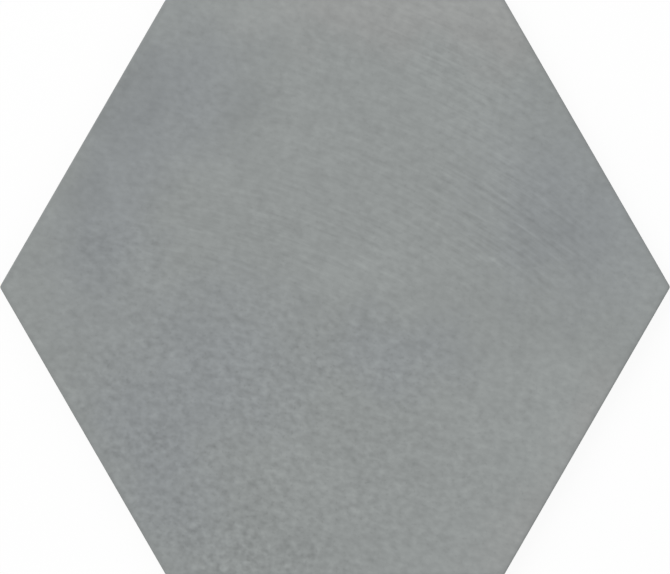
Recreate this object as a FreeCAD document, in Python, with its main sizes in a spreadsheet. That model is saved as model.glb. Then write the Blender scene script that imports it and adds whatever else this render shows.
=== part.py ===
# Hexagon floor tile, pressed and fired in one piece.
#
# The tile lies on its back. The origin is the middle of the back, +Z points out of the
# walked-on face, two of the six corners lie on the X axis and two of the six sides face
# along Y. Lengths are in millimetres and angles in degrees.

import FreeCAD, Part
import math
import os
import Sketcher

NODE_NAME = "hexagon_tile"
PARTS_FOLDER = "parts"

SIDES = 6
SECTOR_ANGLE = 360.0 / SIDES
HALF_SECTOR = SECTOR_ANGLE / 2
ROW_TURN = 2 * SECTOR_ANGLE

# Name, value and meaning of each driving dimension.
DRIVING_DIMENSIONS = [
    ("across_flats", 230.0, "distance between two opposite sides"),
    ("tile_thickness", 9.0, "from the back's ribs to the walked-on face"),
    ("face_edge_round", 0.8, "radius of the softened edge round the face"),
    ("face_corner_round", 0.5, "plan radius of the flat face's own corners"),
    ("back_taper_inset", 0.8, "how far each side leans in at the back"),
    ("back_taper_height", 2.2, "height of the leaning part of each side"),
    ("back_border", 8.0, "least width of the plain rim round the keying cells"),
    ("rib_width", 2.4, "width of the ribs between the keying cells"),
    ("cell_rings", 6, "rings of cells round the middle one"),
    ("cell_depth", 0.7, "depth of a keying cell"),
    ("cell_wall_lean", 30.0, "angle of a cell's walls from upright"),
]

# The pattern of cells fills the room inside the border. Half its height is the spacing of
# the rows times the number of rings, plus half the diagonal of one cell.
CELL_PITCH = (
    "(Dimensions.across_flats / 2 - Dimensions.back_border + Dimensions.rib_width / sqrt(3))"
    " / (Dimensions.cell_rings * cos(30) + 1 / sqrt(3))"
)
CELL_ACROSS_FLATS = f"{CELL_PITCH} - Dimensions.rib_width"
SIDE_CORNER_ROUND = "Dimensions.face_corner_round + Dimensions.face_edge_round"

ROOT_THREE = math.sqrt(3)
FIT_TOLERANCE = 1e-6
VOLUME_TOLERANCE = 0.5

SOLID_TYPES = (
    "PartDesign::AdditiveLoft",
    "PartDesign::Body",
    "PartDesign::Fillet",
    "PartDesign::MultiTransform",
    "PartDesign::Pad",
    "PartDesign::Pocket",
)


def make_dimensions(doc):
    """Writes the driving dimensions to a spreadsheet, one to a row, and returns it."""
    sheet = doc.addObject("Spreadsheet::Sheet", "Dimensions")
    for row, (name, value, meaning) in enumerate(DRIVING_DIMENSIONS, start=1):
        sheet.set(f"A{row}", meaning)
        sheet.set(f"B{row}", str(value))
        sheet.setAlias(f"B{row}", name)
    doc.recompute()
    return sheet


def new_sketch(body, name):
    """Returns an empty sketch on the body's own XY plane."""
    sketch = body.newObject("Sketcher::SketchObject", name)
    plane = next(f for f in body.Origin.OriginFeatures if f.Role == "XY_Plane")
    sketch.AttachmentSupport = (plane, [""])
    sketch.MapMode = "FlatFace"
    return sketch


def bind(sketch, constraint, name, expression):
    """Adds a constraint whose value follows an expression of the sheet's dimensions."""
    index = sketch.addConstraint(constraint)
    sketch.renameConstraint(index, name)
    sketch.setExpression(f"Constraints.{name}", expression)


def polar(radius, angle):
    """Returns the point at that radius and angle round the origin of a sketch."""
    turn = math.radians(angle)
    return FreeCAD.Vector(radius * math.cos(turn), radius * math.sin(turn), 0)


def rounded_hexagon_sketch(body, name, across_flats, corner_round, guess):
    """Draws a hexagon with rounded corners round the origin, one corner on the X axis.

    across_flats and corner_round are expressions. guess holds a value for each, from which
    the first shape is drawn.
    """
    flats, radius = guess
    sketch = new_sketch(body, name)
    upright = FreeCAD.Vector(0, 0, 1)
    centre_radius = (flats / 2 - radius) / math.cos(math.radians(HALF_SECTOR))
    arcs = []
    for corner in range(SIDES):
        angle = corner * SECTOR_ANGLE
        circle = Part.Circle(polar(centre_radius, angle), upright, radius)
        start = math.radians(angle - HALF_SECTOR)
        end = math.radians(angle + HALF_SECTOR)
        arcs.append(sketch.addGeometry(Part.ArcOfCircle(circle, start, end)))
    lines = []
    for corner, arc in enumerate(arcs):
        start = sketch.Geometry[arc].EndPoint
        end = sketch.Geometry[arcs[(corner + 1) % SIDES]].StartPoint
        lines.append(sketch.addGeometry(Part.LineSegment(start, end)))
    through = Part.Circle(FreeCAD.Vector(), upright, centre_radius)
    centres = sketch.addGeometry(through, True)
    sketch.addConstraint(Sketcher.Constraint("Coincident", centres, 3, -1, 1))
    sketch.addConstraint(Sketcher.Constraint("PointOnObject", arcs[0], 3, -1))
    for corner in range(SIDES):
        arc = arcs[corner]
        line = lines[corner]
        next_arc = arcs[(corner + 1) % SIDES]
        sketch.addConstraint(Sketcher.Constraint("Tangent", arc, 2, line, 1))
        sketch.addConstraint(Sketcher.Constraint("Tangent", line, 2, next_arc, 1))
        sketch.addConstraint(Sketcher.Constraint("PointOnObject", arc, 3, centres))
        if corner:
            sketch.addConstraint(Sketcher.Constraint("Equal", arcs[0], arc))
            sketch.addConstraint(Sketcher.Constraint("Equal", lines[0], line))
    rounding = Sketcher.Constraint("Radius", arcs[0], radius)
    bind(sketch, rounding, "corner_round", corner_round)
    reach = Sketcher.Constraint("Distance", -1, 1, lines[0], flats / 2)
    bind(sketch, reach, "half_across_flats", f"({across_flats}) / 2")
    return sketch


def cell_sketch(body, name, steps, guess):
    """Draws a keying cell, a hexagon with two upright sides, on the X axis.

    steps is the cell's distance from the middle of the tile in pitches. guess holds the
    pitch and the size across flats that the first shape is drawn with. A cell away from the
    middle also gets a construction line that points along the slanting rows.
    """
    pitch, flats = guess
    sketch = new_sketch(body, name)
    middle = FreeCAD.Vector(steps * pitch, 0, 0)
    half_diagonal = flats / ROOT_THREE
    corners = [
        middle + polar(half_diagonal, HALF_SECTOR + n * SECTOR_ANGLE) for n in range(SIDES)
    ]
    lines = [
        sketch.addGeometry(Part.LineSegment(corners[n], corners[(n + 1) % SIDES]))
        for n in range(SIDES)
    ]
    through = Part.Circle(middle, FreeCAD.Vector(0, 0, 1), half_diagonal)
    circle = sketch.addGeometry(through, True)
    for n, line in enumerate(lines):
        following = lines[(n + 1) % SIDES]
        sketch.addConstraint(Sketcher.Constraint("Coincident", line, 2, following, 1))
        sketch.addConstraint(Sketcher.Constraint("PointOnObject", line, 1, circle))
        if n:
            sketch.addConstraint(Sketcher.Constraint("Equal", lines[0], line))
    sketch.addConstraint(Sketcher.Constraint("Vertical", lines[-1]))
    reach = Sketcher.Constraint("Distance", circle, 3, lines[0], flats / 2)
    bind(sketch, reach, "half_across_flats", f"({CELL_ACROSS_FLATS}) / 2")
    if not steps:
        sketch.addConstraint(Sketcher.Constraint("Coincident", circle, 3, -1, 1))
        return sketch
    sketch.addConstraint(Sketcher.Constraint("PointOnObject", circle, 3, -1))
    offset = Sketcher.Constraint("DistanceX", -1, 1, circle, 3, steps * pitch)
    bind(sketch, offset, "from_the_middle", f"{steps} * ({CELL_PITCH})")
    row_end = middle + polar(flats / 2, ROW_TURN)
    row = sketch.addGeometry(Part.LineSegment(middle, row_end), True)
    sketch.addConstraint(Sketcher.Constraint("Coincident", row, 1, circle, 3))
    sketch.addConstraint(Sketcher.Constraint("Symmetric", lines[1], 1, lines[1], 2, row, 2))
    return sketch


def add_blank(body, sheet):
    """Adds the tile without its cells: the leaning back, the upright sides, the face."""
    flats = float(sheet.across_flats)
    inset = float(sheet.back_taper_inset)
    rounding = float(sheet.face_corner_round) + float(sheet.face_edge_round)
    back_outline = rounded_hexagon_sketch(
        body,
        "BackOutline",
        "Dimensions.across_flats - 2 * Dimensions.back_taper_inset",
        SIDE_CORNER_ROUND,
        (flats - 2 * inset, rounding),
    )
    side_outline = rounded_hexagon_sketch(
        body, "SideOutline", "Dimensions.across_flats", SIDE_CORNER_ROUND, (flats, rounding)
    )
    side_outline.setExpression("AttachmentOffset.Base.z", "Dimensions.back_taper_height")

    taper = body.newObject("PartDesign::AdditiveLoft", "BackTaper")
    taper.Profile = back_outline
    taper.Sections = [side_outline]
    taper.Ruled = True

    sides = body.newObject("PartDesign::Pad", "UprightSides")
    sides.Profile = side_outline
    sides.setExpression("Length", "Dimensions.tile_thickness - Dimensions.back_taper_height")
    body.Document.recompute()

    top = sides.Shape.BoundBox.ZMax
    rim = [
        f"Edge{number}"
        for number, edge in enumerate(sides.Shape.Edges, start=1)
        if all(abs(vertex.Z - top) < FIT_TOLERANCE for vertex in edge.Vertexes)
    ]
    softened = body.newObject("PartDesign::Fillet", "FaceEdge")
    softened.Base = (sides, rim)
    softened.setExpression("Radius", "Dimensions.face_edge_round")
    body.Document.recompute()
    return softened


def add_cell(body, name, steps, guess):
    """Sinks one keying cell into the back and returns its sketch and its pocket."""
    sketch = cell_sketch(body, f"{name}Outline", steps, guess)
    pocket = body.newObject("PartDesign::Pocket", name)
    pocket.Profile = sketch
    pocket.Reversed = True
    pocket.Refine = False
    pocket.setExpression("Length", "Dimensions.cell_depth")
    pocket.setExpression("TaperAngle", "-Dimensions.cell_wall_lean")
    body.Document.recompute()
    return sketch, pocket


def repeat_cell(body, sketch, pocket):
    """Repeats the cell beside the middle one over the whole field.

    Rows along X and rows turned by two sectors make a rhomb of cells. Three such rhombs
    round the middle cell fill the hexagon.
    """
    doc = body.Document
    upright = next(f for f in body.Origin.OriginFeatures if f.Role == "Z_Axis")
    field = doc.addObject("PartDesign::MultiTransform", "CellField")
    field.Originals = [pocket]
    field.Refine = False
    body.addObject(field)

    straight = doc.addObject("PartDesign::LinearPattern", "StraightRows")
    body.addObject(straight)
    straight.Direction = (sketch, ["H_Axis"])
    straight.setExpression("Length", f"(Dimensions.cell_rings - 1) * ({CELL_PITCH})")
    straight.setExpression("Occurrences", "Dimensions.cell_rings")

    slanting = doc.addObject("PartDesign::LinearPattern", "SlantingRows")
    body.addObject(slanting)
    slanting.Direction = (sketch, ["Axis0"])
    slanting.setExpression("Length", f"Dimensions.cell_rings * ({CELL_PITCH})")
    slanting.setExpression("Occurrences", "Dimensions.cell_rings + 1")

    round_about = doc.addObject("PartDesign::PolarPattern", "RhombsRoundTheMiddle")
    body.addObject(round_about)
    round_about.Axis = (upright, [""])
    round_about.Angle = 360
    round_about.Occurrences = 3

    field.Transformations = [straight, slanting, round_about]
    body.Tip = field
    doc.recompute()
    return field


def pitch_of(sheet):
    """Returns the distance between neighbouring cells, which CELL_PITCH also gives."""
    room = float(sheet.across_flats) / 2 - float(sheet.back_border)
    spacing = int(sheet.cell_rings) * ROOT_THREE / 2 + 1 / ROOT_THREE
    return (room + float(sheet.rib_width) / ROOT_THREE) / spacing


def volume_of_cells(sheet):
    """Returns the volume of all the cells, each a frustum with a hexagonal mouth and floor."""
    depth = float(sheet.cell_depth)
    lean = math.radians(float(sheet.cell_wall_lean))
    rings = int(sheet.cell_rings)
    mouth = pitch_of(sheet) - float(sheet.rib_width)
    floor = mouth - 2 * depth * math.tan(lean)
    mouth_area = mouth**2 * ROOT_THREE / 2
    floor_area = floor**2 * ROOT_THREE / 2
    one_cell = depth / 3 * (mouth_area + floor_area + math.sqrt(mouth_area * floor_area))
    return one_cell * (1 + 3 * rings * (rings + 1))


def check_document(doc):
    """Stops the run if any object of the document failed or any of its solids is bad."""
    for item in doc.Objects:
        if "Invalid" in item.State or "Error" in item.State:
            raise RuntimeError(f"{item.Name} is {item.State}")
        if item.TypeId in SOLID_TYPES and (item.Shape.isNull() or not item.Shape.isValid()):
            raise RuntimeError(f"{item.Name} has a bad shape")


def main():
    """Builds the tile, checks it and writes its STEP file."""
    doc = FreeCAD.newDocument("HexagonTile")
    sheet = make_dimensions(doc)
    body = doc.addObject("PartDesign::Body", "Tile")
    body.Label = NODE_NAME

    blank = add_blank(body, sheet)
    pitch = pitch_of(sheet)
    guess = (pitch, pitch - float(sheet.rib_width))
    add_cell(body, "MiddleCell", 0, guess)
    sketch, pocket = add_cell(body, "CellBeside", 1, guess)
    repeat_cell(body, sketch, pocket)
    check_document(doc)

    expected = blank.Shape.Volume - volume_of_cells(sheet)
    if abs(body.Shape.Volume - expected) > VOLUME_TOLERANCE:
        raise RuntimeError(f"The tile's volume is {body.Shape.Volume}, not {expected}")
    if len(body.Shape.Solids) != 1:
        raise RuntimeError(f"The tile has {len(body.Shape.Solids)} solids, not one")

    os.makedirs(PARTS_FOLDER, exist_ok=True)
    body.Shape.Solids[0].exportStep(os.path.join(PARTS_FOLDER, f"{NODE_NAME}.step"))
    print(NODE_NAME, body.Shape.BoundBox, f"volume {body.Shape.Volume:.1f} mm3")


main()
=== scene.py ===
"""Looks of a hexagonal stoneware floor tile whose matt face imitates trowelled cement.

The tile lies on its back with its face up. Lengths are in metres, unless a name ends in _mm
or a docstring says otherwise, and angles are in degrees. The patterns on the tile are laid out
in millimetres from its middle.
"""

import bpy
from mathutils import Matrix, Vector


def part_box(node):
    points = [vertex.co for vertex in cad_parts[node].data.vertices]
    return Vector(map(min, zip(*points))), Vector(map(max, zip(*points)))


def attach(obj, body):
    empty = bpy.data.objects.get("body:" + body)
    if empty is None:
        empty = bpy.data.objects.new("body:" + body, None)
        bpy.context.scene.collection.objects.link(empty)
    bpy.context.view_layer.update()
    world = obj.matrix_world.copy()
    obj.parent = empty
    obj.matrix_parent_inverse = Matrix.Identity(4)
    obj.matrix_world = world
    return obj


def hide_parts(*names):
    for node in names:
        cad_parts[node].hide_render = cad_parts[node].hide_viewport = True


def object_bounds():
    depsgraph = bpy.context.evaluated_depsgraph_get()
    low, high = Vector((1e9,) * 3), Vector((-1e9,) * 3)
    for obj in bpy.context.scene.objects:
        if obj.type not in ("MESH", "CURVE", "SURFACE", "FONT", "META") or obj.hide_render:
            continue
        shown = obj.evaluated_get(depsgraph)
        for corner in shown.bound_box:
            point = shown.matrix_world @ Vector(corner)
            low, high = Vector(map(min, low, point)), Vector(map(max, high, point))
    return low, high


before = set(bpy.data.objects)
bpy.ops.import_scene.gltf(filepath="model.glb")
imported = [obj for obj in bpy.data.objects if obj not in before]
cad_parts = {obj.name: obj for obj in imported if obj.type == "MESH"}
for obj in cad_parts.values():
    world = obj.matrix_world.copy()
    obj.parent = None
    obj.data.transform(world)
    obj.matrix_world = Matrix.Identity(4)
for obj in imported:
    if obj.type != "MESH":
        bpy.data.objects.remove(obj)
CAD_BOX = [list(corner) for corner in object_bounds()]

import logging
import math
from dataclasses import dataclass
from enum import Enum
from typing import ClassVar, Iterable, Mapping, Sequence

import bmesh
import bpy
from mathutils import Matrix, Vector, noise

LOG = logging.getLogger("hexagon_tile")
MM = 0.001
SIDES = 6
SECTOR = math.radians(360 / SIDES)
WELD_DISTANCE = 1e-7

Colour = tuple[float, float, float]
Place = tuple[float, float, float]
Socket = bpy.types.NodeSocket


class NodeKind(Enum):
    """The shader nodes that the finishes, the floor and the sky are made of."""

    BACKGROUND = "ShaderNodeBackground"
    BUMP = "ShaderNodeBump"
    COMBINE = "ShaderNodeCombineXYZ"
    COORDINATES = "ShaderNodeTexCoord"
    DIFFUSE = "ShaderNodeBsdfDiffuse"
    EMISSION = "ShaderNodeEmission"
    GEOMETRY = "ShaderNodeNewGeometry"
    GRADIENT = "ShaderNodeTexGradient"
    LIGHT_PATH = "ShaderNodeLightPath"
    MAPPING = "ShaderNodeMapping"
    MATERIAL_OUTPUT = "ShaderNodeOutputMaterial"
    MATH = "ShaderNodeMath"
    MIX = "ShaderNodeMix"
    MIX_SHADER = "ShaderNodeMixShader"
    NOISE = "ShaderNodeTexNoise"
    PRINCIPLED = "ShaderNodeBsdfPrincipled"
    RANGE = "ShaderNodeMapRange"
    SEPARATE = "ShaderNodeSeparateXYZ"
    TRANSPARENT = "ShaderNodeBsdfTransparent"
    VECTOR = "ShaderNodeVectorMath"
    WORLD_OUTPUT = "ShaderNodeOutputWorld"


class Wire:
    """A number that flows through a shader, with the arithmetic that the finishes use."""

    def __init__(self, bench: "Bench", socket: Socket) -> None:
        """Wraps the output socket of a node on that bench."""
        self.bench = bench
        self.socket = socket

    def maths(self, operation: str, *values: "Wire | float") -> "Wire":
        """Adds a Math node.

        Args:
            operation: the node's operation.
            values: what goes into its sockets, in their order.

        Returns:
            The node's result.
        """
        made = self.bench.add(
            NodeKind.MATH, {"operation": operation}, dict(enumerate(values))
        )
        return Wire(self.bench, made.outputs[0])

    def __add__(self, other: "Wire | float") -> "Wire":
        """Returns self + other."""
        return self.maths("ADD", self, other)

    def __radd__(self, other: float) -> "Wire":
        """Returns other + self."""
        return self.maths("ADD", other, self)

    def __sub__(self, other: "Wire | float") -> "Wire":
        """Returns self - other."""
        return self.maths("SUBTRACT", self, other)

    def __rsub__(self, other: float) -> "Wire":
        """Returns other - self."""
        return self.maths("SUBTRACT", other, self)

    def __mul__(self, other: "Wire | float") -> "Wire":
        """Returns self * other."""
        return self.maths("MULTIPLY", self, other)

    def __rmul__(self, other: float) -> "Wire":
        """Returns other * self."""
        return self.maths("MULTIPLY", other, self)

    def absolute(self) -> "Wire":
        """Returns self without its sign."""
        return self.maths("ABSOLUTE", self)

    def larger(self, other: "Wire | float") -> "Wire":
        """Returns the larger of self and other."""
        return self.maths("MAXIMUM", self, other)

    def clamped(self) -> "Wire":
        """Returns self held between 0 and 1."""
        return self.maths("MINIMUM", self.larger(0.0), 1.0)

    def angle_of(self, along: "Wire") -> "Wire":
        """Returns the angle, in radians, of the point whose y is self and whose x is along."""
        return self.maths("ARCTAN2", self, along)

    def between(self, low: float, high: float) -> "Wire":
        """Returns 0 up to low, 1 from high on and a smooth step between them."""
        made = self.bench.add(
            NodeKind.RANGE,
            {"interpolation_type": "SMOOTHSTEP"},
            {"Value": self, "From Min": low, "From Max": high},
        )
        return Wire(self.bench, made.outputs["Result"])


class Bench:
    """Adds nodes to the tree of one material or world."""

    def __init__(self, tree: bpy.types.NodeTree) -> None:
        """Empties the tree that the nodes go into."""
        self.tree = tree
        tree.nodes.clear()

    def add(
        self,
        kind: NodeKind,
        settings: Mapping[str, object],
        inputs: Mapping[str | int, object],
    ) -> bpy.types.Node:
        """Adds one node.

        Args:
            kind: the node's type.
            settings: its properties, which are set first.
            inputs: a value, a Wire or a socket for each input that isn't left as it is.

        Returns:
            The node.
        """
        made = self.tree.nodes.new(kind.value)
        for name, setting in settings.items():
            setattr(made, name, setting)
        for name, value in inputs.items():
            if isinstance(value, Wire):
                self.tree.links.new(value.socket, made.inputs[name])
            elif isinstance(value, Socket):
                self.tree.links.new(value, made.inputs[name])
            else:
                made.inputs[name].default_value = value
        return made

    def vector(self, operation: str, *values: object, scale: object = None) -> Socket:
        """Adds a Vector Math node.

        Args:
            operation: the node's operation.
            values: its vectors, in their order.
            scale: the factor of a SCALE operation.

        Returns:
            The resulting vector.
        """
        inputs = dict(enumerate(values))
        if scale is not None:
            inputs["Scale"] = scale
        return self.add(NodeKind.VECTOR, {"operation": operation}, inputs).outputs["Vector"]

    def length(self, vector: Socket) -> Wire:
        """Returns the length of a vector."""
        made = self.add(NodeKind.VECTOR, {"operation": "LENGTH"}, {0: vector})
        return Wire(self, made.outputs["Value"])

    def parts(self, vector: Socket) -> tuple[Wire, Wire, Wire]:
        """Returns the x, y and z of a vector."""
        made = self.add(NodeKind.SEPARATE, {}, {0: vector})
        return tuple(Wire(self, output) for output in made.outputs)

    def joined(self, *parts: Wire) -> Socket:
        """Returns the vector that has those parts."""
        return self.add(NodeKind.COMBINE, {}, dict(enumerate(parts))).outputs[0]

    def laid(self, place: Socket, middle: Place, turn: float, size: Place) -> Socket:
        """Reads a place off a pattern that is stretched, turned and then moved.

        Args:
            place: the vector to read.
            middle: where the pattern's middle goes.
            turn: how far the pattern is turned about z.
            size: how many times the pattern is stretched along x, y and z.

        Returns:
            The place on the pattern as it was.
        """
        made = self.add(
            NodeKind.MAPPING,
            {"vector_type": "TEXTURE"},
            {
                "Vector": place,
                "Location": middle,
                "Rotation": (0.0, 0.0, math.radians(turn)),
                "Scale": size,
            },
        )
        return made.outputs[0]

    def wandering(self, place: Socket, size_mm: float, reach_mm: float) -> Socket:
        """Moves places about, so that what is drawn at them gets ragged.

        Args:
            place: the vector, in millimetres, that is moved.
            size_mm: the size of the noise that moves it.
            reach_mm: how far that noise's whole range moves it.

        Returns:
            The moved vector.
        """
        made = self.add(NodeKind.NOISE, {}, {"Vector": place, "Scale": 1 / size_mm})
        way = self.vector("SUBTRACT", made.outputs["Color"], (0.5, 0.5, 0.5))
        return self.vector("ADD", place, self.vector("SCALE", way, scale=reach_mm))

    def mix(self, share: Wire, under: object, over: object) -> Socket:
        """Returns the colour that has that share of over laid on under."""
        made = self.add(
            NodeKind.MIX,
            {"data_type": "RGBA"},
            {"Factor": share, "A": rgba(under), "B": rgba(over)},
        )
        return made.outputs["Result"]


def rgba(colour: object) -> object:
    """Returns a written colour with an opaque alpha, and anything else as it is."""
    return (*colour, 1.0) if isinstance(colour, tuple) else colour


@dataclass(frozen=True)
class Blobs:
    """A noise of soft blobs, in millimetres.

    size_mm is the size of its largest blobs, detail says how many finer layers it has, and
    seed picks another stretch of the noise.
    """

    SEED_STEP_MM: ClassVar[float] = 97.0

    size_mm: float
    detail: float
    seed: float

    def drawn(self, bench: Bench, place: Socket) -> Wire:
        """Draws the noise.

        Args:
            bench: where the nodes go.
            place: the place on the tile, in millimetres.

        Returns:
            The noise at each place, from about -0.5 to 0.5.
        """
        stretch = bench.vector("ADD", place, (0.0, 0.0, self.seed * self.SEED_STEP_MM))
        made = bench.add(
            NodeKind.NOISE,
            {},
            {"Vector": stretch, "Scale": 1 / self.size_mm, "Detail": self.detail},
        )
        return Wire(bench, made.outputs["Fac"]) - 0.5


@dataclass(frozen=True)
class Spots(Blobs):
    """Blobs that show where the noise is above low, and fully where it is above high."""

    low: float
    high: float

    def drawn(self, bench: Bench, place: Socket) -> Wire:
        """Returns 1 in the spots and 0 between them."""
        return super().drawn(bench, place).between(self.low, self.high)


@dataclass(frozen=True)
class Patch:
    """A soft oval zone of the face, in millimetres and degrees, strongest in its middle."""

    HEIGHT: ClassVar[float] = 1000.0

    x: float
    y: float
    long: float
    wide: float
    turn: float
    strength: float

    def drawn(self, bench: Bench, place: Socket) -> Wire:
        """Draws the patch.

        Args:
            bench: where the nodes go.
            place: the place on the tile, in millimetres.

        Returns:
            Its strength at each place, which fades to 0 at its rim.
        """
        size = (self.long, self.wide, self.HEIGHT)
        inside = bench.laid(place, (self.x, self.y, 0.0), self.turn, size)
        fade = bench.add(
            NodeKind.GRADIENT, {"gradient_type": "SPHERICAL"}, {"Vector": inside}
        )
        return Wire(bench, fade.outputs["Fac"]).between(0.0, 1.0) * self.strength

    @staticmethod
    def share(
        bench: Bench, place: Socket, patches: Iterable["Patch"], everywhere: float = 0.0
    ) -> Wire:
        """Adds up patches.

        Args:
            bench: where the nodes go.
            place: the place on the tile, in millimetres.
            patches: the zones.
            everywhere: the strength outside them all.

        Returns:
            Their strengths together at each place, 1 at most.
        """
        return sum((patch.drawn(bench, place) for patch in patches), everywhere).clamped()


@dataclass(frozen=True)
class FaceGlaze:
    """The matt glaze that imitates trowelled cement."""

    colour: Colour = (0.2650, 0.2815, 0.2778)
    shade: Colour = (0.2280, 0.2427, 0.2405)
    light: Colour = (0.3002, 0.3189, 0.3147)
    cool_tint: Colour = (0.996, 1.000, 1.034)
    warm_tint: Colour = (1.033, 1.000, 0.998)
    # Painted shade along the face's edge, where the rounded edge turns away from the light.
    painted_edge_shade: Colour = (0.200, 0.212, 0.210)

    # The trowel swept round a point outside the tile.
    sweep_x_mm: float = -123.7
    sweep_y_mm: float = -267.6
    sweep_reach_mm: float = 330.0
    stroke: Blobs = Blobs(1.5, 1.0, 3.0)
    stroke_stretch: float = 11.0
    stroke_evenness: float = 0.6
    stroke_tone: float = 0.50
    stroke_relief: float = 0.7

    grit: Blobs = Blobs(2.45, 1.0, 11.0)
    grit_stretch: float = 1.33
    grit_turn: float = -17.0
    round_grit: Blobs = Blobs(2.5, 1.0, 12.0)
    pit: Spots = Spots(1.1, 0.0, 17.0, 0.14, 0.30)
    pit_depth: float = 0.16
    uneven: Blobs = Blobs(14.0, 1.0, 13.0)
    uneven_share: float = 0.8
    grain_everywhere: float = 0.42
    grain_tone: float = 0.66
    grain_relief: float = 0.8

    pore: Blobs = Blobs(0.45, 2.0, 31.0)
    pore_tone: float = 0.03
    pore_relief: float = 0.25

    cloud: Blobs = Blobs(30.0, 2.0, 5.0)
    cloud_tone: float = 0.03
    mottle: Blobs = Blobs(6.0, 1.0, 7.0)
    mottle_tone: float = 0.15

    # The rims of the zones below wander about.
    wander_size_mm: float = 22.0
    wander_reach_mm: float = 26.0

    # Darker clouds, from the upper left corner down to the lower left one, and at the right.
    shaded: tuple[Patch, ...] = (
        Patch(-84, 72, 38, 25, 62, 1.05),
        Patch(-65, 86, 40, 24, 60, 0.50),
        Patch(-44, 82, 40, 28, 20, 0.42),
        Patch(-34, 71, 19, 17, 0, 0.85),
        Patch(-54, 62, 32, 13, -20, 0.40),
        Patch(-98, 40, 19, 17, 0, 0.90),
        Patch(-96, 15, 28, 20, -60, 0.95),
        Patch(-74, 42, 32, 22, 0, 0.42),
        Patch(-101, -24, 34, 30, 90, 0.28),
        Patch(-59, -13, 21, 17, 0, 0.38),
        Patch(-50, -33, 25, 17, -50, 0.20),
        Patch(-19, -35, 17, 12, 0, 0.20),
        Patch(-75, -57, 36, 30, 0, 0.33),
        Patch(-58, -92, 36, 28, -30, 0.24),
        Patch(-15, -104, 19, 16, 0, 0.35),
        Patch(31, -24, 41, 21, -15, 0.25),
        Patch(2, -17, 27, 17, 0, 0.17),
        Patch(-57, -41, 87, 63, 60, 0.27),
        Patch(100, 48, 79, 40, -58, 0.22),
        Patch(87, 22, 36, 25, -45, 0.55),
        Patch(-118, 14, 18, 15, 0, 0.32),
        Patch(-68, 60, 17, 14, 0, 0.34),
        Patch(-78, 23, 20, 20, 0, 0.30),
        Patch(4, 72, 26, 14, 0, 0.28),
        Patch(-36, 56, 24, 15, -45, 0.24),
        Patch(74, 70, 18, 14, -60, 0.18),
    )
    # Lighter clouds, along the upper edge, in the middle and at the lower right.
    lit: tuple[Patch, ...] = (
        Patch(-8, 114, 78, 20, 0, 0.58),
        Patch(56, 114, 46, 25, 0, 0.72),
        Patch(30, -90, 60, 40, 0, 0.32),
        Patch(44, 14, 38, 28, -20, 0.26),
        Patch(120, -3, 26, 33, 0, 0.46),
        Patch(44, 87, 24, 18, -30, 0.38),
        Patch(66, 77, 36, 20, -60, 0.34),
        Patch(55, 59, 32, 17, -50, 0.30),
        Patch(-2, 70, 103, 63, 0, 0.20),
        Patch(8, 8, 44, 20, 0, 0.45),
        Patch(60, -50, 50, 30, -15, 0.38),
        Patch(96, -50, 34, 26, 60, 0.60),
        Patch(78, -92, 80, 50, 50, 0.50),
        Patch(-14, -72, 38, 24, -25, 0.32),
        Patch(-24, -42, 18, 22, 0, 0.15),
        Patch(81, -32, 29, 19, 20, 0.46),
        Patch(26, -118, 54, 16, 0, 0.46),
        Patch(34, 120, 32, 15, 0, 0.38),
        Patch(72, 94, 18, 12, -60, 0.28),
        Patch(6, -5, 42, 14, -5, 0.28),
        Patch(107, 27, 18, 15, 0, 0.28),
        Patch(52, -68, 20, 15, 0, 0.26),
    )
    # Zones with a breath more blue, and with a breath more red.
    cooled: tuple[Patch, ...] = (
        Patch(-64, 76, 52, 42, 45, 1.1),
        Patch(-90, 25, 58, 32, 75, 1.1),
        Patch(-52, -31, 60, 54, 0, 1.1),
        Patch(-71, -71, 60, 34, -60, 1.0),
        Patch(93, 29, 68, 50, -50, 1.1),
        Patch(26, -27, 48, 24, 0, 0.9),
    )
    warmed: tuple[Patch, ...] = (
        Patch(22, 112, 88, 28, 0, 1.20),
        Patch(66, 104, 40, 26, -40, 0.90),
        Patch(103, -54, 34, 23, 60, 0.90),
        Patch(80, -98, 44, 30, 40, 0.80),
    )
    # Where the trowel's strokes show, and where the cement's grain does.
    swept: tuple[Patch, ...] = (
        Patch(48, 88, 60, 40, -28, 0.60),
        Patch(70, 25, 54, 38, -32, 0.90),
        Patch(6, 14, 60, 40, -22, 0.35),
        Patch(-56, 18, 66, 36, -10, 0.45),
        Patch(10, 40, 150, 100, 0, 0.45),
    )
    grained: tuple[Patch, ...] = (
        Patch(-28, -74, 100, 70, 0, 0.33),
        Patch(-46, -24, 84, 48, -5, 0.28),
        Patch(20, -27, 52, 26, 0, 0.26),
        Patch(-86, 12, 30, 22, 0, 0.42),
        Patch(36, -66, 100, 60, -10, 0.15),
    )
    # Where rounder grit comes on top of the grain.
    gritty: tuple[Patch, ...] = (
        Patch(-26, -112, 60, 32, -5, 0.92),
        Patch(-78, -66, 84, 46, -60, 0.72),
    )

    def lane(self, bench: Bench, place: Socket) -> Socket:
        """Lays the tile out along the trowel's round sweeps.

        Args:
            bench: where the nodes go.
            place: the place on the tile, in millimetres.

        Returns:
            The distance from the middle of the sweeps, the way along them, shortened so that
            round blobs become strokes, and the height.
        """
        x, y, height = bench.parts(place)
        across = x - self.sweep_x_mm
        up = y - self.sweep_y_mm
        along = up.angle_of(across) * (self.sweep_reach_mm / self.stroke_stretch)
        return bench.joined(bench.length(bench.joined(across, up)), along, height)

    def strokes(self, bench: Bench, place: Socket) -> Wire:
        """Draws the trowel's strokes, fine lines of which a few show more than the rest.

        Args:
            bench: where the nodes go.
            place: the place on the tile, in millimetres.

        Returns:
            How high and light the strokes are at each place, from about -0.5 to 0.5.
        """
        line = self.stroke.drawn(bench, self.lane(bench, place))
        line = line * (line.absolute() + self.stroke_evenness)
        return line * Patch.share(bench, place, self.swept)

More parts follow.
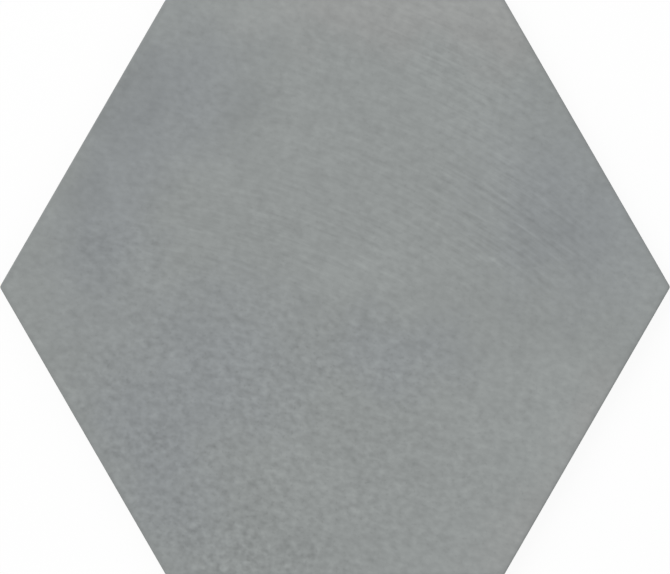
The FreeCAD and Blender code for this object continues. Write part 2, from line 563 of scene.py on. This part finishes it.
    def grain(self, bench: Bench, place: Socket) -> Wire:
        """Draws the cement's grain: slanting grit, a little longer than wide, pits and round grit.

        Args:
            bench: where the nodes go.
            place: the place on the tile, in millimetres.

        Returns:
            How high and light the grain is at each place, from about -0.5 to 0.5.
        """
        size = (self.grit_stretch, 1.0, 1.0)
        slanting = bench.laid(place, (0.0, 0.0, 0.0), self.grit_turn, size)
        grain = self.grit.drawn(bench, slanting) - self.pit.drawn(bench, place) * self.pit_depth
        grain = grain * Patch.share(bench, place, self.grained, self.grain_everywhere)
        rounder = self.round_grit.drawn(bench, place) * Patch.share(bench, place, self.gritty)
        return (grain + rounder) * (self.uneven.drawn(bench, place) * self.uneven_share + 1.0)

    def texture(self, bench: Bench, place: Socket) -> tuple[Wire, Wire]:
        """Draws the strokes, the grain and the pores.

        Args:
            bench: where the nodes go.
            place: the place on the tile, in millimetres.

        Returns:
            How much lighter they make the glaze, as a share of its colour, and how high they
            stand, as a share of the finish's relief.
        """
        strokes = self.strokes(bench, place)
        grain = self.grain(bench, place)
        pores = self.pore.drawn(bench, place)
        tone = strokes * self.stroke_tone + grain * self.grain_tone + pores * self.pore_tone
        relief = (
            strokes * self.stroke_relief + grain * self.grain_relief + pores * self.pore_relief
        )
        return tone, relief

    def colours(self, bench: Bench, place: Socket, tone: Wire) -> Socket:
        """Draws the clouded colour of the glaze.

        Args:
            bench: where the nodes go.
            place: the place on the tile, in millimetres.
            tone: how much lighter the texture makes it.

        Returns:
            The colour.
        """
        loose = bench.wandering(place, self.wander_size_mm, self.wander_reach_mm)
        colour = bench.mix(Patch.share(bench, loose, self.shaded), self.colour, self.shade)
        colour = bench.mix(Patch.share(bench, loose, self.lit), colour, self.light)
        for zones, tint in ((self.cooled, self.cool_tint), (self.warmed, self.warm_tint)):
            tinted = bench.vector("MULTIPLY", colour, tint)
            colour = bench.mix(Patch.share(bench, loose, zones), colour, tinted)
        cloud = self.cloud.drawn(bench, place) * self.cloud_tone
        mottle = self.mottle.drawn(bench, place) * self.mottle_tone
        return bench.vector("SCALE", colour, scale=1.0 + cloud + mottle + tone)


@dataclass(frozen=True)
class BareBody:
    """The fired stoneware body where no glaze covers it, on the lower sides and the back."""

    colour: Colour = (0.352, 0.335, 0.300)
    dark: Colour = (0.270, 0.255, 0.228)
    kiln_wash: Colour = (0.560, 0.545, 0.510)
    grit: Blobs = Blobs(0.6, 3.0, 41.0)
    grit_tone: float = 0.35
    grit_relief: float = 1.6
    blotch: Spots = Spots(14.0, 4.0, 21.0, -0.15, 0.25)
    speck: Spots = Spots(0.7, 1.0, 23.0, 0.17, 0.24)
    speck_share: float = 0.6
    smear: Spots = Spots(18.0, 5.0, 27.0, -0.02, 0.16)
    smear_share: float = 0.75
    smear_height_mm: float = 0.05
    smear_fade_mm: float = 0.2

    def colours(self, bench: Bench, place: Socket, height: Wire, grit: Wire) -> Socket:
        """Draws the body's colour.

        Args:
            bench: where the nodes go.
            place: the place on the tile, in millimetres.
            height: the place's height above the ribs of the back, in millimetres.
            grit: the body's grit, as it is drawn at the place.

        Returns:
            The colour, with pale kiln wash smeared on the ribs.
        """
        colour = bench.mix(self.blotch.drawn(bench, place), self.colour, self.dark)
        specks = self.speck.drawn(bench, place) * self.speck_share
        colour = bench.mix(specks, colour, self.dark)
        top = self.smear_height_mm + self.smear_fade_mm
        ribs = 1.0 - height.between(self.smear_height_mm, top)
        smears = self.smear.drawn(bench, place) * ribs * self.smear_share
        colour = bench.mix(smears, colour, self.kiln_wash)
        return bench.vector("SCALE", colour, scale=1.0 + grit * self.grit_tone)


@dataclass(frozen=True)
class GlazedStoneware:
    """The tile's one finish: glaze on the face and over its edge, bare body below."""

    half_flats_mm: float
    thickness_mm: float
    name: str = "glazed_stoneware"
    specular: float = 0.35
    glaze_roughness: float = 0.62
    body_roughness: float = 0.86
    tone_roughness: float = 0.3
    relief_mm: float = 0.06

    # Painted shade on the rounded edge from here below the face, and on a strip from here inside
    # the sides.
    edge_shade_below_mm: tuple[float, float] = (0.1, 0.6)
    edge_shade_below_share: float = 0.6
    edge_shade_inside_mm: tuple[float, float] = (0.4, 2.4)
    edge_shade_inside_share: float = 0.3

    # The glaze's foot, its height on the side and how it runs and sprays.
    foot_mm: float = 5.2
    foot_fade_mm: float = 0.9
    run: Blobs = Blobs(9.0, 3.0, 35.0)
    run_mm: float = 3.0
    spray: Blobs = Blobs(0.8, 2.0, 37.0)
    spray_mm: float = 2.2

    def painted_edge_shade(self, bench: Bench, place: Socket) -> Wire:
        """Finds where shade is painted, on the face's rounded edge and just inside it.

        Args:
            bench: where the nodes go.
            place: the place on the tile, in millimetres.

        Returns:
            The share of the painted edge shade that shows there.
        """
        x, y, height = bench.parts(place)
        reach = y.absolute()
        for turn in (SECTOR / 2, -SECTOR / 2):
            reach = reach.larger((x * math.cos(turn) + y * math.sin(turn)).absolute())
        inside = (self.half_flats_mm - reach).between(*self.edge_shade_inside_mm)
        below = (self.thickness_mm - height).between(*self.edge_shade_below_mm)
        edge_shade = below * self.edge_shade_below_share + (1.0 - inside) * self.edge_shade_inside_share
        return edge_shade.clamped()

    def covered(self, bench: Bench, place: Socket, height: Wire) -> Wire:
        """Finds where the glaze covers the body.

        Args:
            bench: where the nodes go.
            place: the place on the tile, in millimetres.
            height: the place's height above the ribs of the back, in millimetres.

        Returns:
            1 above the glaze's ragged foot and 0 below it.
        """
        run = self.run.drawn(bench, place) * self.run_mm
        spray = self.spray.drawn(bench, place) * self.spray_mm
        return (height + run + spray).between(self.foot_mm, self.foot_mm + self.foot_fade_mm)

    def material(self) -> bpy.types.Material:
        """Makes the material.

        Returns:
            The material, which reads the places of a tile that lies at the origin.
        """
        made = bpy.data.materials.new(self.name)
        made.use_nodes = True
        bench = Bench(made.node_tree)
        here = bench.add(NodeKind.COORDINATES, {}, {}).outputs["Object"]
        place = bench.vector("SCALE", here, scale=1 / MM)
        height = bench.parts(place)[2]
        covered = self.covered(bench, place, height)

        glaze = FaceGlaze()
        tone, glaze_relief = glaze.texture(bench, place)
        face = glaze.colours(bench, place, tone)
        # Painted shade along the face's edge and just inside it, standing in for the rounded edge
        # turning from the light.
        face = bench.mix(self.painted_edge_shade(bench, place), face, glaze.painted_edge_shade)
        body = BareBody()
        grit = body.grit.drawn(bench, place)
        colour = bench.mix(covered, body.colours(bench, place, height, grit), face)
        dullness = (1.0 - covered) * (self.body_roughness - self.glaze_roughness)
        roughness = dullness + self.glaze_roughness + tone * self.tone_roughness
        relief = covered * glaze_relief + (1.0 - covered) * grit * body.grit_relief
        bump = bench.add(
            NodeKind.BUMP,
            {},
            {"Strength": 1.0, "Distance": self.relief_mm * MM, "Height": relief},
        )
        shader = bench.add(
            NodeKind.PRINCIPLED,
            {},
            {
                "Base Color": colour,
                "Roughness": roughness.clamped(),
                "Specular IOR Level": self.specular,
                "Normal": bump.outputs["Normal"],
            },
        )
        bench.add(NodeKind.MATERIAL_OUTPUT, {}, {"Surface": shader.outputs[0]})
        return made


@dataclass
class HexagonTile:
    """The tile, one closed piece: its face, the rim round it and the back with its cells."""

    node: str = "hexagon_tile"
    slot: str = "glazed_stoneware"
    half_flats: float = 115 * MM
    thickness: float = 9 * MM
    edge_round: float = 0.8 * MM
    corner_round: float = 0.5 * MM
    taper_inset: float = 0.8 * MM
    taper_height: float = 2.2 * MM
    border: float = 8 * MM
    rib: float = 2.4 * MM
    rings: int = 6
    cell_depth: float = 0.7 * MM
    cell_lean: float = 30.0
    cell_corner: float = 1.1 * MM
    cell_lip: float = 0.12 * MM
    face_rows: int = 120
    corner_steps: int = 8
    edge_steps: int = 6
    wave_depth: float = 0.10 * MM
    wave_length: float = 34 * MM
    wave_fade: float = 6 * MM
    sharp_from: float = 20.0

    def fit(self) -> None:
        """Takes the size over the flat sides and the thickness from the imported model."""
        low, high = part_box(self.node)
        self.half_flats = high[1]
        self.thickness = high[2] - low[2]

    @property
    def face_half_flats(self) -> float:
        """Half the distance between two opposite edges of the flat part of the face."""
        return self.half_flats - self.edge_round

    def face(self, bm: bmesh.types.BMesh) -> list[bmesh.types.BMEdge]:
        """Makes the flat part of the face, with rounded corners and faint waves.

        Args:
            bm: the mesh that it goes into.

        Returns:
            The edges round it.
        """
        top = Matrix.Translation((0, 0, self.thickness))
        bmesh.ops.create_circle(
            bm,
            cap_ends=True,
            cap_tris=True,
            segments=SIDES,
            radius=self.face_half_flats / math.cos(SECTOR / 2),
            matrix=top @ Matrix.Rotation(SECTOR / 2, 4, "Z"),
        )
        bmesh.ops.subdivide_edges(
            bm, edges=bm.edges[:], cuts=self.face_rows - 1, use_grid_fill=True
        )
        corners = sorted(bm.verts, key=lambda vert: -vert.co.xy.length)[:SIDES]
        beside = [edge for vert in corners for edge in vert.link_edges if edge.is_boundary]
        bmesh.ops.subdivide_edges(bm, edges=beside, cuts=self.corner_steps - 1)
        rim = [edge for edge in bm.edges if edge.is_boundary]
        for vert in {vert for edge in rim for vert in edge.verts}:
            base, outward = self.spoke_of(vert.co.xy)
            vert.co.xy = base + outward * self.corner_round
        for vert in bm.verts:
            vert.co.z -= self.dip(vert.co.xy)
        return rim

    def spoke_of(self, place: Vector) -> tuple[Vector, Vector]:
        """Finds what a place on the tile's outline is measured from.

        Args:
            place: a place at or near the outline, in plan.

        Returns:
            The nearest place on the hexagon through the centres of the corner rounds, and
            the unit vector from there to the place.
        """
        inner = self.face_half_flats - self.corner_round
        turn = math.atan2(place.y, place.x)
        side = math.floor(turn / SECTOR) * SECTOR + SECTOR / 2
        outward = Vector((math.cos(side), math.sin(side)))
        along = Vector((-outward.y, outward.x))
        half_side = inner * math.tan(SECTOR / 2)
        slide = max(-half_side, min(half_side, place.dot(along)))
        base = outward * inner + along * slide
        return base, (place - base).normalized()

    def dip(self, place: Vector) -> float:
        """Works out the face's faint waves, which fade away towards its edge.

        Args:
            place: a place on the face, in plan.

        Returns:
            How far the face lies below its highest level there.
        """
        reach = max(
            place.dot(Vector((math.cos(turn), math.sin(turn))))
            for turn in (SECTOR / 2 + side * SECTOR for side in range(SIDES))
        )
        fade = min(1.0, max(0.0, (self.face_half_flats - reach) / self.wave_fade))
        smooth = fade * fade * (3 - 2 * fade)
        swell = noise.fractal(
            place.to_3d() / self.wave_length, 1.0, 2.0, 3, noise_basis="PERLIN_ORIGINAL"
        )
        return smooth * self.wave_depth * min(1.0, max(0.0, 0.5 + 0.5 * swell))

    def rim_profile(self) -> list[tuple[float, float]]:
        """Works out the rim's section, from the face down to the back.

        Returns:
            Pairs of the distance outwards from the flat part of the face, and the height.
        """
        top = self.thickness - self.edge_round
        turns = [step / self.edge_steps * math.pi / 2 for step in range(1, self.edge_steps + 1)]
        curve = [
            (self.edge_round * math.sin(turn), top + self.edge_round * math.cos(turn))
            for turn in turns
        ]
        foot = self.edge_round - self.taper_inset
        return curve + [(self.edge_round, self.taper_height), (foot, 0.0)]

    def rim(self, bm: bmesh.types.BMesh, edges: Sequence[bmesh.types.BMEdge]) -> None:
        """Extrudes the rim downwards from the face, one ring after another.

        Args:
            bm: the mesh that it goes into.
            edges: the edges round the flat part of the face.
        """
        for out, height in self.rim_profile():
            grown = bmesh.ops.extrude_edge_only(bm, edges=edges)["geom"]
            edges = [item for item in grown if isinstance(item, bmesh.types.BMEdge)]
            ring = {vert for edge in edges for vert in edge.verts}
            edges = [edge for edge in edges if edge.is_boundary]
            for vert in ring:
                base, outward = self.spoke_of(vert.co.xy)
                vert.co.xy = base + outward * (self.corner_round + out)
                vert.co.z = height

    def cell_middles(self) -> list[Vector]:
        """Works out where the keying cells on the back are.

        Returns:
            Their middles.
        """
        room = self.half_flats - self.border + self.rib / math.sqrt(3)
        pitch = room / (self.rings * math.cos(SECTOR / 2) + 1 / math.sqrt(3))
        step = Vector((pitch, 0, 0))
        slant = Vector((pitch * math.cos(SECTOR), pitch * math.sin(SECTOR), 0))
        span = range(-self.rings, self.rings + 1)
        return [
            step * across + slant * up
            for up in span
            for across in span
            if abs(across + up) <= self.rings
        ]

    def back(self, bm: bmesh.types.BMesh) -> None:
        """Closes the open back: hollow cells, the ribs between them and the plain border.

        Args:
            bm: the mesh that it goes into.
        """
        middles = self.cell_middles()
        mouth = (middles[1] - middles[0]).length - self.rib + self.cell_lip
        made = []
        for middle in middles:
            made += bmesh.ops.create_circle(
                bm,
                cap_ends=True,
                segments=SIDES,
                radius=mouth / math.sqrt(3),
                matrix=Matrix.Translation(middle),
            )["verts"]
        bmesh.ops.bevel(
            bm,
            geom=made,
            affect="VERTICES",
            offset=self.cell_corner,
            segments=2,
            profile=0.5,
            material=-1,
        )
        floors = [face for face in bm.faces if face.calc_center_median().z < WELD_DISTANCE]
        wall = self.cell_depth - 2 * self.cell_lip
        for across, deep in (
            (self.cell_lip, self.cell_lip),
            (wall * math.tan(math.radians(self.cell_lean)), wall),
            (self.cell_lip, self.cell_lip),
        ):
            bmesh.ops.inset_individual(
                bm, faces=floors, thickness=across, depth=deep, use_even_offset=True
            )
        open_edges = [edge for edge in bm.edges if edge.is_boundary]
        bmesh.ops.triangle_fill(bm, edges=open_edges, use_beauty=True, normal=(0, 0, -1))

    def build(self) -> bpy.types.Object:
        """Makes the tile as one closed mesh in its place.

        Returns:
            The tile's object, without a finish.
        """
        bm = bmesh.new()
        self.rim(bm, self.face(bm))
        self.back(bm)
        bmesh.ops.remove_doubles(bm, verts=bm.verts[:], dist=WELD_DISTANCE)
        bmesh.ops.recalc_face_normals(bm, faces=bm.faces[:])
        open_edges = sum(not edge.is_manifold for edge in bm.edges)
        if open_edges:
            raise RuntimeError(f"the tile has {open_edges} open edges")
        mesh = bpy.data.meshes.new(self.node)
        bm.to_mesh(mesh)
        bm.free()
        mesh.shade_smooth()
        mesh.set_sharp_from_angle(angle=math.radians(self.sharp_from))
        tile = bpy.data.objects.new("tile", mesh)
        bpy.context.scene.collection.objects.link(tile)
        return tile

    def dress(self, tile: bpy.types.Object) -> None:
        """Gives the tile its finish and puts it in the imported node's place.

        Args:
            tile: the tile's object.
        """
        finish = GlazedStoneware(self.half_flats / MM, self.thickness / MM)
        tile.data.materials.append(finish.material())
        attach(tile, "root")
        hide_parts(self.node)


@dataclass(frozen=True)
class Studio:
    """The floor, the light and the camera."""

    floor_size: float = 30.0
    floor_drop: float = 0.1 * MM
    floor_colour: Colour = (0.94, 0.94, 0.94)
    white: Colour = (1.0, 1.0, 1.0)
    shadow_share: float = 0.09
    sky_strength: float = 0.72
    lamp_size: float = 1.6
    lamp_power: float = 21.5
    lamp_place: Place = (-1.0, 1.1, 1.7)
    lens_mm: float = 200.0
    sensor_mm: float = 36.0
    photo_width_px: float = 670.0
    tile_width_px: float = 669.9

    def floor(self) -> None:
        """Lays a white floor, a hair below the tile, that shows its shadow.

        From below it is clear, so that the back can be looked at.
        """
        bm = bmesh.new()
        drop = Matrix.Translation((0, 0, -self.floor_drop))
        bmesh.ops.create_grid(
            bm, x_segments=1, y_segments=1, size=self.floor_size / 2, matrix=drop
        )
        mesh = bpy.data.meshes.new("floor")
        bm.to_mesh(mesh)
        bm.free()
        mesh.materials.append(self.floor_finish())
        floor = bpy.data.objects.new("floor", mesh)
        bpy.context.scene.collection.objects.link(floor)
        floor.visible_diffuse = False
        floor.visible_glossy = False
        floor.visible_shadow = False

    def floor_finish(self) -> bpy.types.Material:
        """Makes the floor's material, mostly white light with a share that takes shadow.

        Returns:
            The material, which is clear from below.
        """
        made = bpy.data.materials.new("studio_floor")
        made.use_nodes = True
        bench = Bench(made.node_tree)
        lit = bench.add(NodeKind.DIFFUSE, {}, {"Color": rgba(self.floor_colour)}).outputs[0]
        glow = bench.add(NodeKind.EMISSION, {}, {"Color": rgba(self.white)}).outputs[0]
        clear = bench.add(NodeKind.TRANSPARENT, {}, {}).outputs[0]
        below = bench.add(NodeKind.GEOMETRY, {}, {}).outputs["Backfacing"]
        above = bench.add(NodeKind.MIX_SHADER, {}, {0: self.shadow_share, 1: glow, 2: lit})
        both = bench.add(NodeKind.MIX_SHADER, {}, {0: below, 1: above.outputs[0], 2: clear})
        bench.add(NodeKind.MATERIAL_OUTPUT, {}, {"Surface": both.outputs[0]})
        return made

    def light(self) -> None:
        """Sets a white room round the tile and one large soft lamp beside it."""
        world = bpy.data.worlds.new("studio")
        world.use_nodes = True
        bpy.context.scene.world = world
        bench = Bench(world.node_tree)
        path = bench.add(NodeKind.LIGHT_PATH, {}, {})
        seen = Wire(bench, path.outputs["Is Camera Ray"])
        mirrored = Wire(bench, path.outputs["Is Glossy Ray"])
        through = Wire(bench, path.outputs["Is Transmission Ray"])
        shown = (seen + mirrored + through).clamped()
        strength = shown * (1.0 - self.sky_strength) + self.sky_strength
        sky = bench.add(
            NodeKind.BACKGROUND, {}, {"Color": rgba(self.white), "Strength": strength}
        )
        bench.add(NodeKind.WORLD_OUTPUT, {}, {"Surface": sky.outputs[0]})

        lamp = bpy.data.lights.new("soft_lamp", "AREA")
        lamp.shape = "SQUARE"
        lamp.size = self.lamp_size
        lamp.energy = self.lamp_power
        holder = bpy.data.objects.new("soft_lamp", lamp)
        holder.location = self.lamp_place
        holder.rotation_euler = (-Vector(self.lamp_place)).to_track_quat("-Z", "Y").to_euler()
        bpy.context.scene.collection.objects.link(holder)

    def camera(self, width: float, face_height: float) -> None:
        """Looks straight down at the tile.

        Args:
            width: the tile's width over its corners, which fills the photograph's.
            face_height: the height of the tile's face.
        """
        made = bpy.data.cameras.new("camera")
        made.lens = self.lens_mm
        made.sensor_width = self.sensor_mm
        made.sensor_fit = "HORIZONTAL"
        made.clip_start = 0.01
        made.clip_end = 100.0
        span = width * self.photo_width_px / self.tile_width_px
        holder = bpy.data.objects.new("camera", made)
        holder.location = (0, 0, face_height + span * self.lens_mm / self.sensor_mm)
        bpy.context.scene.collection.objects.link(holder)
        bpy.context.scene.camera = holder


def main() -> None:
    """Builds the tile and its studio."""
    logging.basicConfig(level=logging.INFO, format="%(name)s: %(message)s")
    bpy.context.scene.view_settings.view_transform = "Standard"
    part = HexagonTile()
    part.fit()
    tile = part.build()
    part.dress(tile)
    LOG.info("tile: %d vertices, %d faces", len(tile.data.vertices), len(tile.data.polygons))
    studio = Studio()
    studio.floor()
    studio.light()
    studio.camera(CAD_BOX[1][0] - CAD_BOX[0][0], part.thickness)
    LOG.info("studio: floor, light and camera are in place")


if __name__ == "__main__":
    main()
